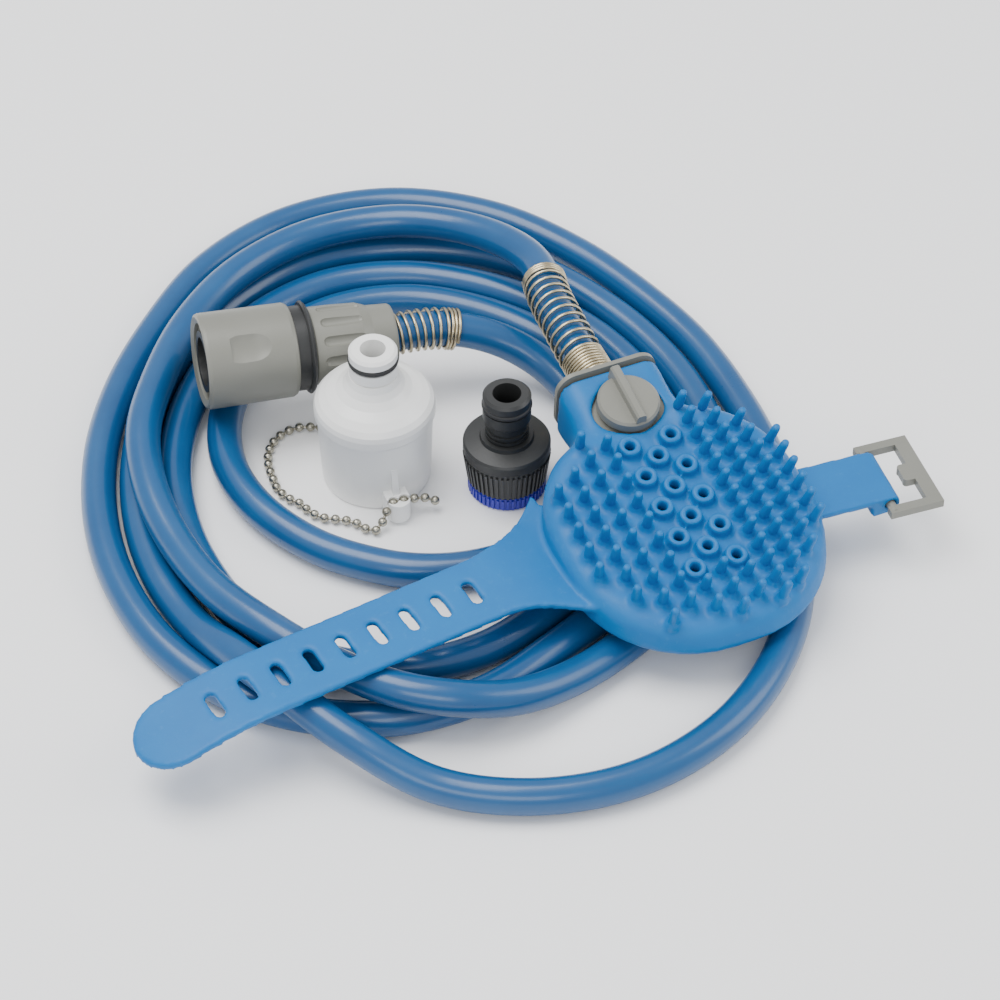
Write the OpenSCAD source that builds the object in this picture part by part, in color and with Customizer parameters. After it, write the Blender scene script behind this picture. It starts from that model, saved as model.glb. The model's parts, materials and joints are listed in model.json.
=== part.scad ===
// Handheld pet bath sprayer: a palm-worn spray pad with silicone bristles and a quarter-turn valve,
// a coiled water hose with a quick connector, and two tap adapters standing beside it.
// Millimetres. +Z is up and Z = 0 is the surface that everything rests on. The sprayer's neck points to +Y.

/* [Spray pad] */
// Width of the pad across the palm
pad_w = 92; // [90:1:96]
// Height of the pad at its far end
pad_low = 10; // [9.5:0.5:12]
// Angle between the flat back and the bristled face
face_slope = 7.8; // [5:0.2:9]
// Thickness of the silicone cover
cover_wall = 2.2; // [1.6:0.1:2.6]
// Width of the neck
neck_w = 36; // [34:1:40]
// Angle at which the sprayer lies on the hose, neck end up
sprayer_pitch = 4; // [3:0.5:5]

/* [Bristles and nozzles] */
// Height of a bristle above the face
bristle_h = 9; // [5:0.5:10]
// Radius of a bristle at its foot
bristle_foot = 2.1; // [1.8:0.1:2.4]
// Radius of a bristle's round tip
bristle_tip = 1.45; // [1:0.05:1.6]
// Distance between bristles along the pad's left and middle
bristle_pitch = 8.4; // [8:0.2:11]
// Distance between bristles along its right side, where they are denser
dense_pitch = 6.9; // [6.5:0.1:8]
// Outer diameter of a nozzle ring
ring_d = 8.2; // [7:0.2:9]
// Diameter of the hole in a nozzle ring
ring_hole = 3.6; // [3:0.2:4]
// Distance between nozzle rings along the pad
ring_pitch = 13.1; // [12:0.1:13.5]
// Distance between the columns of rings and bristles
column_pitch = 7.7; // [7.2:0.1:8]

/* [Valve] */
// Diameter of the valve knob
knob_d = 21.8; // [21:0.2:24]
// Height of the knob's disc above the silicone
knob_rise = 3.6; // [2:0.2:5]
// Diameter of the valve spindle
spindle_d = 9; // [8:0.5:10]
// Diameter of the water way
water_d = 6; // [5:0.5:6.5]

/* [Straps] */
// Width of the long strap
strap_w = 28; // [26:1:30]
// Thickness of both straps
strap_t = 2.6; // [2:0.1:3]
// Length of the long strap from the pad's side
strap_len = 160.6; // [155:0.1:165]
// Number of adjusting slots
slot_count = 9; // [5:1:9]
// Distance between slots
slot_pitch = 12; // [11:0.5:12]

/* [Hose and springs] */
// Outside diameter of the hose
hose_d = 12.5; // [12:0.1:12.6]
// Diameter of the spring wire
wire_d = 1.2; // [1:0.1:1.3]
// Inside radius of the spring at the sprayer
wide_spring_r = 7; // [6.7:0.1:7.2]
// Inside radius of the spring at the connector
slim_spring_r = 6.6; // [6.5:0.1:6.9]

/* [Quick connector] */
// Outside diameter of the locking sleeve at its open end
sleeve_d = 34.4; // [34:0.2:35]
// Length of the locking sleeve
sleeve_len = 33; // [32:0.5:34]
// Travel of the locking sleeve
sleeve_travel = 4; // [3:0.5:4]
// Diameter of the socket bore
socket_d = 17.4; // [17.2:0.1:17.6]

/* [Adapters] */
// Diameter of the spout adapter's cup
cup_d = 42.6; // [40:0.2:44]
// Diameter of both adapters' spigot tips
spigot_d = 17; // [16.8:0.1:17]
// Diameter of a chain bead
bead_d = 3.3; // [3:0.1:3.4]

/* [Hidden] */

// Places of the pieces on the surface
sprayer_at = [55.6, -36.5, 17.5];
coil_at = [-0.4, 33.5];
connector_at = [-66.8, 101.2, 31];
connector_yaw = -8.5;
connector_dip = 3.2;
spout_at = [-19.4, 54.5];
tap_at = [20.1, 30];

// Pad: corner centres [x, y, radius] of the pad and of its neck
far_r = 42;
near_r = 41;
far_y = -50;
near_y = 46;
rim_y = 62.8;
rim_out = rim_y + 6.8;
edge_r = 7;
face_z = pad_low - far_y * tan(face_slope);
pad_corners = [[pad_w / 2 - far_r, far_y + far_r, far_r], [pad_w / 2 - near_r, near_y - near_r, near_r]];
neck_corners = [[neck_w / 2 - 12, 34, 14], [neck_w / 2 - 13.8, rim_y + 12, 14]];
gap = 0.1;
lip_t = 1;
plate_t = 4;
plate_z = -cover_wall - gap - plate_t;
knob_y = 46.3;
axis_z = 11.5;
spindle_fit = 0.05;
chamber_deep = 3.5;
ring_top = 4;
bristle_margin = 4.5;
screw_places = [[-30, -27], [30, -27], [-35, 16], [35, 16], [-13, 35], [13, 35]];

// ---- frames ----
module on_sprayer() translate(sprayer_at) rotate([sprayer_pitch, 0, 0]) children();
module on_face() translate([0, 0, face_z]) rotate([face_slope, 0, 0]) children();
module on_connector() translate(connector_at) rotate([0, 90 + connector_dip, connector_yaw]) children();
module both_sides() { children(); mirror([1, 0, 0]) children(); }

// ---- pad form ----
// Hull of round feet on the back's plane and round-edged discs under the sloping face
module corner_hull(corners, inset) {
    hull() both_sides() for (c = corners) {
        translate([c[0], c[1], inset > 0 ? lip_t : 0])
            cylinder(h = 3, r1 = c[2] - inset - (inset > 0 ? 0 : 2), r2 = c[2] - inset, $fn = 40);
        e = min(edge_r, c[2] / 2);
        on_face() translate([c[0], c[1], -e])
            rotate_extrude($fn = 40) translate([c[2] - e, 0]) circle(r = e - inset, $fn = 20);
    }
}

module pad_form(inset) {
    difference() {
        union() {
            corner_hull(pad_corners, inset);
            corner_hull(neck_corners, inset);
        }
        on_face() translate([-80, -80, -inset - 0.05]) cube([160, 180, 30]);
        translate([-80, rim_y - (inset > 0 ? 0 : 1), -5]) cube([160, 40, 60]);
    }
}

// Outline of the zone that carries bristles, seen from above the face
function in_corner(x, y, r, cx, cy) = norm([x - cx, y - cy]) < r;
function on_pad(x, y, m) =
    let (ax = abs(x), f = pad_corners[0], n = pad_corners[1])
    (ax < pad_w / 2 - m && y > f[1] && y < n[1])
    || (ax < f[0] && y > far_y + m && y < n[1])
    || (ax < n[0] && y > f[1] && y < near_y - m)
    || in_corner(ax, y, f[2] - m, f[0], f[1])
    || in_corner(ax, y, n[2] - m, n[0], n[1]);

ring_first = 28.6;
ring_places = [for (c = [-1:1], i = [0:c == 0 ? 3 : 4])
    [c * column_pitch, ring_first - (i + (c == 0 ? 0.5 : 0)) * ring_pitch]];
function clear_of_rings(p) = min([for (r = ring_places) norm(p - r)]) > ring_d / 2 + bristle_foot + 0.8;
function clear_of_knob(p) = norm(p - [0, knob_y]) > knob_d / 2 + bristle_foot + 3.5;
bristle_places = [for (c = [-6:6], i = [-8:8])
    let (pitch = c > 1 ? dense_pitch : bristle_pitch, stagger = c % 2 == 0 ? 0 : 0.5,
        p = [c * column_pitch, -2 + (i + stagger) * pitch])
    if (on_pad(p[0], p[1], bristle_margin) && clear_of_rings(p) && clear_of_knob(p)) p];

module bristle() {
    rotate_extrude($fn = 16) polygon(concat([[0, -1], [bristle_foot, -1], [bristle_foot * 0.92, 0.6]],
        [for (a = [5:28:89]) [bristle_tip * cos(a), bristle_h - bristle_tip + bristle_tip * sin(a)]],
        [[0, bristle_h]]));
}

module nozzle_ring() {
    wall = (ring_d - ring_hole) / 2;
    rotate_extrude($fn = 32) {
        translate([ring_hole / 2, -1]) square([wall, ring_top - wall / 2 + 1]);
        translate([ring_hole / 2 + wall / 2, ring_top - wall / 2]) circle(d = wall, $fn = 24);
    }
}

// ---- straps ----
// The long strap leaves the pad's side, rides over the hose and droops at its tip
strap_turn = 6.5;
strap_root = [-44, 0];
function ease(t) = let (u = max(0, min(1, t))) u * u * (3 - 2 * u);
function strap_z(s) = 23 + 3.6 * ease(s / 26) - 9 * pow(max(0, (s - 112) / (strap_len - 112)), 2);
strap_stations = [for (s = [-8:3:strap_len + 3]) s];
slot_first = 132;

module strap_profile() {
    polygon(concat([for (s = strap_stations) [-s, strap_z(s)]],
        [for (i = [len(strap_stations) - 1:-1:0])
            [-strap_stations[i], strap_z(strap_stations[i]) + strap_t]]));
}

module slot(w, l) {
    square([w, l - w], center = true);
    for (y = [-1, 1]) translate([0, y * (l - w) / 2]) circle(d = w, $fn = 20);
}

module strap_outline() {
    difference() {
        union() {
            translate([-strap_len + strap_w / 2, -strap_w / 2])
                square([strap_len - strap_w / 2 + 8, strap_w]);
            translate([-strap_len + strap_w / 2, 0]) circle(d = strap_w, $fn = 48);
            polygon([for (s = [30:-4:-8]) [-s, strap_w / 2 + 13 * pow(1 - s / 32, 2)],
                for (s = [-8:4:30]) [-s, -strap_w / 2 - 13 * pow(1 - s / 32, 2)]]);
        }
        for (i = [0:slot_count - 1]) translate([-slot_first + i * slot_pitch, 0]) slot(3.6, 11);
    }
}

module long_strap() {
    translate([sprayer_at[0] - pad_w / 2 + 3, sprayer_at[1] + 2, 0]) rotate([0, 0, strap_turn])
        intersection() {
            rotate([90, 0, 0]) linear_extrude(height = 90, center = true) strap_profile();
            linear_extrude(height = 40) strap_outline();
        }
}

// The short strap ends in a fold round the buckle's bar
bar_at = [128.1, -41.5, 22];
bar_d = 3.4;
fold_r = bar_d / 2 + 0.3;
short_from = sprayer_at[0] + pad_w / 2 - 6;
short_w = 24;
fold_tail = 7;
buckle_turn = -5;

module on_bar() translate(bar_at) rotate([0, 0, buckle_turn]) children();

module short_strap() {
    on_bar() {
        rotate([90, 0, 0]) linear_extrude(height = short_w, center = true) difference() {
            union() {
                circle(r = fold_r + strap_t - 1, $fn = 48);
                translate([short_from - bar_at[0], fold_r - 1]) square([bar_at[0] - short_from, strap_t]);
                translate([-fold_tail, -fold_r - strap_t + 1]) square([fold_tail, 2 * fold_r + strap_t]);
            }
            circle(r = fold_r, $fn = 48);
        }
    }
}

module silicone_cover() {
    color([0.29, 0.59, 0.78]) {
        on_sprayer() difference() {
            union() {
                difference() {
                    pad_form(0);
                    pad_form(cover_wall);
                    translate([0, 0, -1]) linear_extrude(height = lip_t + 1.2) back_outline(5);
                }
                on_face() {
                    for (p = bristle_places) translate([p[0], p[1], 0]) bristle();
                    for (p = ring_places) translate([p[0], p[1], 0]) nozzle_ring();
                }
            }
            on_face() {
                for (p = ring_places) translate([p[0], p[1], -8]) cylinder(d = ring_hole, h = 16, $fn = 24);
                translate([0, knob_y, -12]) cylinder(d = knob_d + 1.2, h = 30, $fn = 64);
            }
        }
        difference() {
            union() {
                long_strap();
                short_strap();
            }
            on_sprayer() pad_form(cover_wall / 2);
        }
    }
}

module back_outline(m) {
    offset(delta = -m) hull() both_sides() for (c = pad_corners) translate([c[0], c[1]])
        circle(r = c[2], $fn = 48);
}

// ---- housing inside the cover ----
module valve_bore(d) { on_face() translate([0, knob_y, -30]) cylinder(d = d, h = 40, $fn = 48); }

module water_way(d, from_y, to_y) {
    translate([0, from_y, axis_z]) rotate([-90, 0, 0]) cylinder(d = d, h = to_y - from_y, $fn = 32);
}

module front_housing() {
    color([0.62, 0.63, 0.62]) on_sprayer() difference() {
        intersection() {
            pad_form(cover_wall + gap);
            on_face() translate([-80, -80, plate_z]) cube([160, 160, 20]);
        }
        on_face() for (p = ring_places) translate([p[0], p[1], plate_z - 1])
            cylinder(d = 1.6, h = 12, $fn = 16);
        valve_bore(spindle_d + 2 * spindle_fit);
        for (p = screw_places) screw_hole(p, 2.6);
        on_face() translate([0, -2, plate_z]) rotate_extrude($fn = 64)
            translate([31.5, -0.1]) square([2.4, 1.7]);
    }
}

module screw_hole(p, d) { translate([p[0], p[1], -2]) cylinder(d = d, h = screw_top(p) + 2, $fn = 20); }
function screw_top(p) = face_z + p[1] * tan(face_slope) - cover_wall - gap - 1.4;

module rear_housing() {
    color([0.64, 0.64, 0.63]) on_sprayer() difference() {
        union() {
            intersection() {
                pad_form(cover_wall + gap);
                difference() {
                    translate([-80, -80, lip_t + gap]) cube([160, 160, 40]);
                    on_face() translate([-80, -80, plate_z - gap]) cube([160, 180, 30]);
                }
            }
            linear_extrude(height = 1.2) back_outline(5.2);
        }
        on_face() translate([0, -2, plate_z - gap - chamber_deep]) cylinder(r = 29, h = 10, $fn = 64);
        valve_bore(spindle_d + 2 * spindle_fit);
        water_way(water_d, 20, rim_y - 5);
        water_way(11, rim_y - 8.5, rim_y + 5);
        for (p = screw_places) {
            screw_hole(p, 3.2);
            translate([p[0], p[1], -2]) cylinder(d = 6.4, h = 4.6, $fn = 24);
        }
        translate([0, -6, -0.1]) palm_ribs();
    }
}

// Shallow grip grooves across the back, where the palm rests
module palm_ribs() {
    for (y = [-18:6:18]) translate([-16, y - 0.9, 0]) cube([32, 1.8, 0.9]);
}

module housing_seal() {
    color([0.15, 0.15, 0.15]) on_sprayer() on_face() translate([0, -2, plate_z + 0.1])
        rotate_extrude($fn = 64) translate([31.8, 0]) square([1.8, 1.4]);
}

module housing_screws() {
    color([0.72, 0.72, 0.7]) on_sprayer() for (p = screw_places) translate([p[0], p[1], 0.6])
        difference() {
            union() {
                cylinder(d = 5.6, h = 2, $fn = 32);
                cylinder(d = 2.4, h = screw_top(p) - 0.9, $fn = 20);
            }
            for (a = [0, 90]) rotate([0, 0, a]) translate([-1.6, -0.3, -0.1]) cube([3.2, 0.6, 1.2]);
        }
}

// End cap of the neck, a thin rim round the silicone with a boss that the spring seats on
cap_t = 1.7;
cap_z = 13.5;
module neck_collar() {
    color([0.7, 0.7, 0.68]) on_sprayer() difference() {
        union() {
            translate([0, rim_y + cap_t, cap_z]) rotate([90, 0, 0]) linear_extrude(height = cap_t)
                cap_outline();
            water_way(17.6, rim_y + cap_t, rim_out);
        }
        water_way(11.1, rim_y - 1, rim_out + 1);
        for (x = [-13, 13]) translate([x, rim_y + 0.8, 12]) rotate([-90, 0, 0])
            cylinder(d = 4, h = 3, $fn = 24);
    }
}

module cap_outline() {
    w = neck_w / 2 + 0.9;
    h = 12.7;
    square([2 * w - 14, 2 * h], center = true);
    square([2 * w, 2 * h - 14], center = true);
    for (x = [-1, 1], y = [-1, 1]) translate([x * (w - 7), y * (h - 7)]) circle(r = 7, $fn = 40);
}

// Brass inlet with its water way, pressed into the neck
module inlet_barb() {
    color([0.78, 0.68, 0.45]) on_sprayer() difference() {
        union() {
            water_way(10.9, rim_y - 8.3, rim_out);
            water_way(10.96, rim_y - 7, rim_y - 5.4);
            water_way(10.96, rim_y - 3.6, rim_y - 2);
        }
        water_way(water_d, rim_y - 9, rim_out - 0.4);
    }
}

// ---- valve ----
module on_valve() { on_sprayer() on_face() translate([0, knob_y, 0]) children(); }

spindle_low = -16;
module valve_spindle() {
    color([0.75, 0.66, 0.42]) on_valve() difference() {
        translate([0, 0, spindle_low]) cylinder(d = spindle_d, h = -spindle_low - 0.4, $fn = 48);
        way_z = (axis_z - face_z - knob_y * sin(face_slope)) / cos(face_slope);
        translate([0, 0, way_z + 0.4]) rotate([90 - face_slope, 0, 0])
            cylinder(d = water_d - 0.4, h = 20, center = true, $fn = 32);
        for (z = o_ring_z) translate([0, 0, z - 0.8]) rotate_extrude($fn = 48)
            translate([spindle_d / 2 - 1.1, 0]) square([2, 1.6]);
        translate([0, 0, -4]) cylinder(d = 2.1, h = 5, $fn = 24);
    }
}

o_ring_z = [-4.6, -14];
module valve_o_rings() {
    color([0.1, 0.1, 0.1]) on_valve() for (z = o_ring_z) translate([0, 0, z])
        rotate_extrude($fn = 48) translate([spindle_d / 2 - 0.52, 0]) circle(r = 0.55, $fn = 24);
}

// Disc with a blade across it, which points along the water way when the valve is open
blade_h = 3.4;
blade_past = 1.7;
module valve_knob() {
    top = knob_rise + blade_h;
    color([0.66, 0.66, 0.64]) on_valve() difference() {
        union() {
            translate([0, 0, -0.4]) cylinder(d = knob_d, h = knob_rise - 0.4, $fn = 96);
            translate([0, 0, knob_rise - 0.8]) cylinder(d1 = knob_d, d2 = knob_d - 1.6, h = 0.8, $fn = 96);
            translate([0, knob_d / 2 + blade_past, 0]) rotate([90, 0, 0])
                linear_extrude(height = knob_d + blade_past - 0.6)
                    polygon([[-2, 1], [2, 1], [1.7, top - 0.7], [1, top], [-1, top], [-1.7, top - 0.7]]);
        }
        translate([0, 0, -1]) cylinder(d = 2.2, h = 5.4, $fn = 24);
        translate([0, 0, -0.5]) cylinder(d = spindle_d + 1, h = 1, $fn = 48);
    }
}

// Threaded stud that holds the knob on the spindle
module knob_screw() {
    color([0.75, 0.75, 0.73]) on_valve() translate([0, 0, -4]) cylinder(d = 2.1, h = 8, $fn = 24);
}

// ---- buckle ----
frame_l = 17.5;
frame_w = 34;
frame_t = 3;
module buckle() {
    color([0.68, 0.68, 0.66]) on_bar() {
        rotate([90, 0, 0]) cylinder(d = bar_d, h = frame_w - 2, center = true, $fn = 40);
        difference() {
            translate([-2, -frame_w / 2, -frame_t / 2]) cube([frame_l + 2, frame_w, frame_t]);
            translate([-4, -frame_w / 2 + 3.4, -5]) cube([frame_l - 1.2, frame_w - 6.8, 10]);
        }
        translate([8.6, -2.6, -frame_t / 2]) cube([5, 5.2, frame_t]);
        translate([9.8, -4, -frame_t / 2]) cube([4, 8, frame_t]);
        for (y = [-1, 1]) translate([9.8, y * 2.6, -frame_t / 2]) cylinder(r = 1.4, h = frame_t, $fn = 24);
    }
}

// ---- hose ----
// Route of the hose round the coil's middle: [clock angle, radius, height], from the sprayer outwards
function at_clock(p) = [coil_at[0] + p[1] * cos(p[0]), coil_at[1] + p[1] * sin(p[0]), p[2]];
pc = cos(sprayer_pitch);
ps = sin(sprayer_pitch);
hose_from = sprayer_at + [0, rim_out * pc - axis_z * ps, rim_out * ps + axis_z * pc];
hose_dir = [0, pc, ps];
axis_dir = [cos(connector_yaw) * cos(connector_dip), sin(connector_yaw)
    * cos(connector_dip), -sin(connector_dip)];
hose_s = 50;
hose_to = connector_at + hose_s * axis_dir;

lap_1 = [[48, 95.5, 30], [60, 112, 25], [75, 125, 20.5], [90, 128, 19.2], [105, 124, 19.2], [120, 117, 19.2],
    [135, 111, 19.2], [150, 108, 19.2], [165, 104, 18], [180, 101, 16.6], [195, 100.5, 17.5],
    [210, 101.5, 19.2],
    [225, 105.5, 19.2], [240, 111.5, 19.2], [248, 112.3, 17.5], [257, 110, 13], [270, 103, 7.5],
    [285, 98, 6.3],
    [300, 96.5, 6.3], [330, 95.5, 6.3]];
lap_2 = [[0, 97, 6.3], [30, 105, 6.3], [60, 121, 6.3], [90, 128, 6.3], [120, 119.5, 6.3], [150, 110.5, 6.3],
    [180, 109, 6.3], [195, 110.5, 7.5], [209, 115, 15.8], [220, 122, 19.4], [232, 131, 15.5], [245, 141, 7.5],
    [257, 147.5, 6.3], [270, 150.5, 6.3], [285, 147, 6.3], [300, 138.5, 6.3], [315, 128, 6.3],
    [330, 118, 6.3]];
lap_3 = [[0, 111, 6.3], [15, 114, 6.3], [30, 119.5, 6.3], [45, 130, 6.3], [60, 143, 6.3], [75, 152, 6.3],
    [90, 152.5, 6.3], [105, 145, 6.3], [120, 134, 6.3], [135, 127.5, 6.3], [150, 124, 6.3], [180, 122.5, 6.3],
    [195, 123.5, 6.3], [210, 122.5, 6.3], [225, 118, 6.3], [240, 110.5, 6.3], [255, 99.5, 6.3],
    [270, 88, 6.3],
    [285, 82.5, 6.3], [300, 81.5, 6.3], [330, 81, 6.3]];
lap_4 = [[0, 84, 6.3], [30, 91.5, 6.3], [60, 103, 6.3], [75, 109.5, 6.3], [90, 113, 6.3], [105, 111, 6.3],
    [120, 106, 6.3], [150, 97.5, 6.3], [180, 94, 6.3], [210, 96, 6.3], [225, 94, 6.3], [240, 88.5, 6.3],
    [255, 81, 6.3], [270, 73, 6.3], [285, 68, 6.3], [300, 67, 6.3], [330, 67, 6.3]];
lap_5 = [[0, 70.5, 6.3], [30, 78, 6.3], [60, 89.5, 6.3], [75, 96, 6.3], [90, 99, 6.3], [105, 97.5, 6.3],
    [120, 92.5, 6.3], [135, 86, 6.3], [150, 78, 6.3], [165, 69, 6.3], [180, 60.5, 6.3], [195, 54, 6.3],
    [210, 49, 6.3], [225, 46, 6.3], [240, 44, 6.3], [255, 43, 6.3], [270, 43, 6.3], [285, 44, 6.3],
    [300, 46, 6.3], [330, 50.5, 6.3], [0, 56, 6.3], [20, 61.3, 8.5], [36, 62.8, 14], [50, 61.4, 20]];
hose_points = concat(
    [hose_from, hose_from + 14 * hose_dir, hose_from + 28 * hose_dir + [0.9, 0, -0.5],
        hose_from + 44 * hose_dir + [2.6, 0, -2.5]],
    [for (lap = [lap_1, lap_2, lap_3, lap_4, lap_5]) for (p = lap) at_clock(p)],
    [hose_to + 36 * axis_dir, hose_to + 18 * axis_dir, hose_to]);

// Smooth curve from b to c that allows for uneven distances between the points
function heading(a, b, c) = let (p = norm(b - a), q = norm(c - b)) ((b - a) / p * q + (c - b) / q * p)
    / (p + q);
function spline(a, b, c, d, t) = let (w = norm(c - b)) (2 * t * t * t - 3 * t * t + 1) * b
    + (t * t * t - 2 * t * t + t) * w * heading(a, b, c) + (3 * t * t - 2 * t * t * t) * c
    + (t * t * t - t * t) * w * heading(b, c, d);
function curve_at(p, u) = let (m = len(p) - 1, i = min(floor(u), m - 1))
    spline(i == 0 ? 2 * p[0] - p[1] : p[i - 1], p[i], p[i + 1],
        i == m - 1 ? 2 * p[m] - p[m - 1] : p[i + 2], u - i);
function hose_at(u) = curve_at(hose_points, u);

// Distances along the hose against its curve parameter, and the parameter at a distance
part_u = 0.1;
hose_parts = (len(hose_points) - 1) / part_u;
hose_run = [for (i = 0, s = 0; i <= hose_parts;
    s = s + norm(hose_at((i + 1) * part_u) - hose_at(i * part_u)), i = i + 1) [s, i * part_u]];
hose_len = hose_run[len(hose_run) - 1][0];
function hose_u(s) = lookup(s, hose_run);
function unit(v) = v / norm(v);
function side_of(t) = unit(cross([0, 0, 1], t));
function ring_round(c, t, r, n) = let (s = side_of(t), u = cross(t, s))
    [for (k = [0:n - 1]) let (a = (k + 0.5) * 360 / n) c + r * (cos(a) * s + sin(a) * u)];

// Closed tube round a list of centres
module tube(centres, tangents, r, n) {
    m = len(centres);
    points = [for (i = [0:m - 1]) each ring_round(centres[i], tangents[i], r, n)];
    sides = [for (i = [0:m - 2], k = [0:n - 1]) let (j = (k + 1) % n, a = i * n + k, b = i * n + j)
        each [[a, a + n, b + n], [a, b + n, b]]];
    polyhedron(concat(points, [centres[0], centres[m - 1]]), concat(sides,
        [for (k = [0:n - 1]) [m * n, k, (k + 1) % n]],
        [for (k = [0:n - 1]) [m * n + 1, (m - 1) * n + (k + 1) % n, (m - 1) * n + k]]));
}

// Rings lie close together inside the springs and far apart along the laps
near_step = 11;
near_len = 66;
lap_step = (hose_len - 2 * near_len) / 68;
ring_s = concat([for (i = [0:5]) i * near_step], [for (i = [0:68]) near_len + i * lap_step],
    [for (i = [1:6]) hose_len - near_len + i * near_step]);
module hose() {
    last = len(ring_s) - 1;
    us = [for (s = ring_s) hose_u(s)];
    ways = [for (i = [0:last]) i == 0 ? hose_dir : i == last ? -axis_dir
        : unit(hose_at(us[i] + 0.05) - hose_at(us[i] - 0.05))];
    color([0.27, 0.52, 0.72]) tube([for (u = us) hose_at(u)], ways, hose_d / 2, 8);
}

// ---- anti-kink springs, wound round the hose ----
// A spring's stations: [distance from its start, turns so far] for its close, open and close windings
function spring_turns(x, marks) = let (k = max([for (i = [0:len(marks) - 2]) x >= marks[i][0] ? i : 0]))
    marks[k][1] + (x - marks[k][0]) * (marks[k + 1][1] - marks[k][1]) / (marks[k + 1][0] - marks[k][0]);
function spring_x(w, marks) = let (k = max([for (i = [0:len(marks) - 2]) w >= marks[i][1] ? i : 0]))
    marks[k][0] + (w - marks[k][1]) * (marks[k + 1][0] - marks[k][0]) / (marks[k + 1][1] - marks[k][1]);

function wound(u, turns, r) =
    let (t = unit(hose_at(u + 0.02) - hose_at(u - 0.02)), s = side_of(t), a = 360 * turns)
    hose_at(u) + r * (cos(a) * s + sin(a) * cross(t, s));

spring_steps = 9;
module spring(marks, inner, ends_at_hose_end) {
    last = marks[len(marks) - 1][1];
    n = round(last * spring_steps);
    xs = [for (i = [0:n]) spring_x(i * last / n, marks)];
    us = [for (x = xs) hose_u(ends_at_hose_end ? hose_len - x : x)];
    centres = [for (i = [0:n]) wound(us[i], i * last / n, inner + wire_d / 2)];
    tangents = [for (i = [0:n]) unit(centres[min(i + 1, n)] - centres[max(i - 1, 0)])];
    tube(centres, tangents, wire_d / 2, 5);
}

module sprayer_spring() {
    color([0.72, 0.68, 0.58]) spring([[0.7, 0], [12, 8.5], [54, 18.5], [58.5, 22]], wide_spring_r, false);
}

module connector_spring() {
    start = nut_end - hose_s + 0.8;
    color([0.74, 0.74, 0.72])
        spring([[start, 0], [start + 19, 6.5], [start + 22.8, 9.5]], slim_spring_r, true);
}

// ---- quick connector; distances run from its open end to the hose ----
nut_from = sleeve_len + sleeve_travel + 2.4;
nut_end = 70;
step_d = 27.6;
rim_end = 12;
shoulder = 22;
flange = 31;
lip_s = sleeve_len + sleeve_travel + 0.4;

module turned(points, fn = 64) { rotate_extrude($fn = fn) polygon(points); }

module connector_body() {
    color([0.17, 0.17, 0.17]) on_connector() difference() {
        union() {
            translate([0, 0, 1]) cylinder(d = 22, h = 17, $fn = 64);
            translate([0, 0, rim_end + sleeve_travel + 0.4]) cylinder(d = step_d, h = 4, $fn = 64);
            translate([0, 0, 18]) cylinder(d = 23, h = 16, $fn = 64);
            turned([[0, flange], [15.2, flange], [15.2, lip_s], [16.2, lip_s], [16.7, lip_s + 0.5],
                [16.7, nut_from - 1.2], [15.8, nut_from - 0.2], [0, nut_from - 0.2]]);
            translate([0, 0, nut_from - 1]) cylinder(d = 19, h = 14, $fn = 48);
        }
        translate([0, 0, -1]) cylinder(d = socket_d, h = 25, $fn = 64);
        translate([0, 0, 2]) cylinder(d = 8, h = 60, $fn = 40);
        translate([0, 0, 19.6]) cylinder(d = socket_d + 2.6, h = 2.6, $fn = 64);
        for (a = [0:90:270]) rotate([0, 0, a + 45]) translate([4, -2.2, 5.6]) cube([14, 4.4, 5.4]);
        translate([0, 0, hose_s]) cylinder(d = hose_d + 0.6, h = 12, $fn = 48);
    }
}

module connector_seal() {
    color([0.1, 0.1, 0.1]) on_connector() translate([0, 0, 20.9])
        rotate_extrude($fn = 64) translate([socket_d / 2 + 0.1, 0]) circle(r = 1.15, $fn = 24);
}

// Four claws that grip the spigot's groove, backed by the sleeve's inner rim
module locking_claws() {
    color([0.8, 0.8, 0.78]) on_connector() for (a = [0:90:270]) rotate([0, 0, a + 45])
        difference() {
            intersection() {
                translate([socket_d / 2 - 1.1, -2, 6]) cube([3.7, 4, 4.6]);
                cylinder(r = 11.3, h = 20, $fn = 64);
            }
            cylinder(r = socket_d / 2 - 0.9, h = 20, $fn = 64);
            translate([0, 0, 4.4]) cylinder(r1 = socket_d / 2 + 1.4, r2 = socket_d / 2 - 1.2, h = 3.6,
                $fn = 64);
        }
}

module sleeve_spring() {
    n = 5 * spring_steps;
    wire = 0.45;
    free = flange - shoulder - 2 * wire - 0.2;
    c = [for (i = [0:n]) let (a = i * 360 / spring_steps)
        [14.75 * cos(a), 14.75 * sin(a), shoulder + wire + 0.1 + free * i / n]];
    t = [for (i = [0:n]) unit(c[min(i + 1, n)] - c[max(i - 1, 0)])];
    color([0.7, 0.7, 0.68]) on_connector() tube(c, t, wire, 5);
}

// Two thumb recesses are sunk into the sleeve, straight at one end and round at the other
thumb_turn = 39;
thumb_r = 15;
thumb_deep = 1.7;
thumb_s = [9, 13, 17];
module thumb_recess(r) {
    translate([-r - thumb_r + thumb_deep, 0, 0]) difference() {
        union() {
            translate([0, 0, thumb_s[1]]) cylinder(r = thumb_r, h = thumb_s[2] - thumb_s[1], $fn = 96);
            for (i = [1, 2]) translate([0, 0, thumb_s[i]]) sphere(r = thumb_r, $fn = 96);
        }
        translate([-20, -20, thumb_s[0] - 40]) cube([40, 40, 40]);
    }
}

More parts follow.
